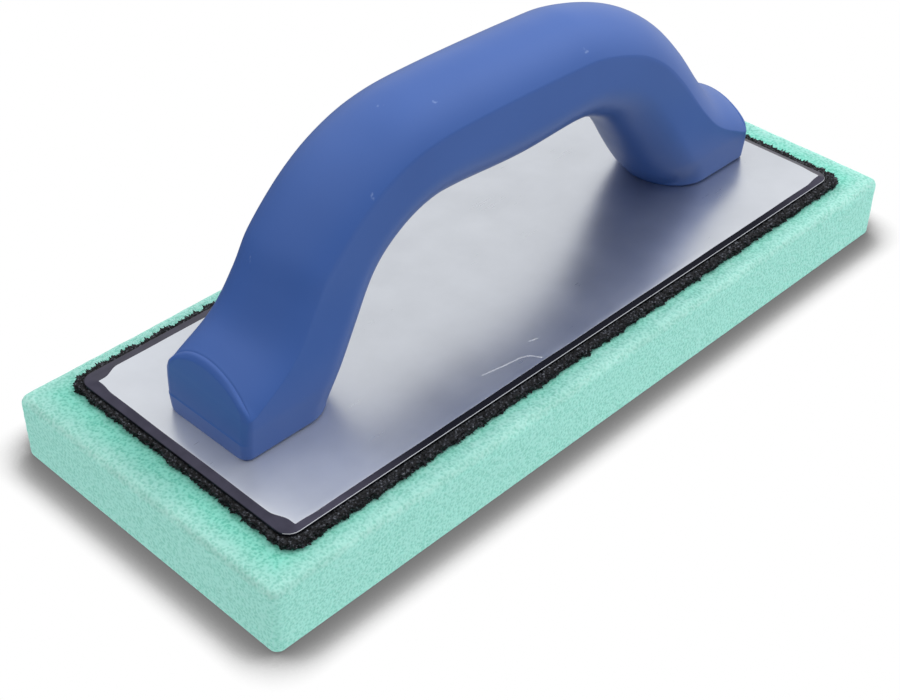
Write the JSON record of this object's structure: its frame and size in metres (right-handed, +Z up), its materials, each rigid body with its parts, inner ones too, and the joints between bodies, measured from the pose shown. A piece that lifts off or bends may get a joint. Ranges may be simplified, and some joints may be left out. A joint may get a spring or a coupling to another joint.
{
  "type": "grout float",
  "caption": "Hand float for working grout into tile joints: a soft foam pad on a stiff metal plate, with a moulded bridge handle on top.",
  "frame": {"origin": "middle of the foam pad's flat underside, on the surface the float stands on", "axes": "+X along the float's length, +Y across it, +Z up through the handle"},
  "size_m": [0.254, 0.1016, 0.0971],
  "materials": {
    "pad_foam": "open-cell polyurethane foam, fine pores, matt sea green",
    "backing_foam": "coarse open-cell foam, matt black, crumbly cut edge",
    "adhesive": "dried contact adhesive film",
    "plate_metal": "satin rolled sheet with a turned-down rim",
    "handle_plastic": "moulded polypropylene, satin blue, light handling marks",
    "screw_steel": "bright zinc-plated steel"
  },
  "bodies": {
    "root": {"foam_pad": "pad_foam", "pad_adhesive_film": "adhesive", "backing_foam": "backing_foam", "plate_adhesive_film": "adhesive", "backing_plate": "plate_metal", "handle": "handle_plastic", "handle_screw_1": "screw_steel", "handle_screw_2": "screw_steel", "handle_screw_3": "screw_steel", "handle_screw_4": "screw_steel"}
  },
  "joints": []
}
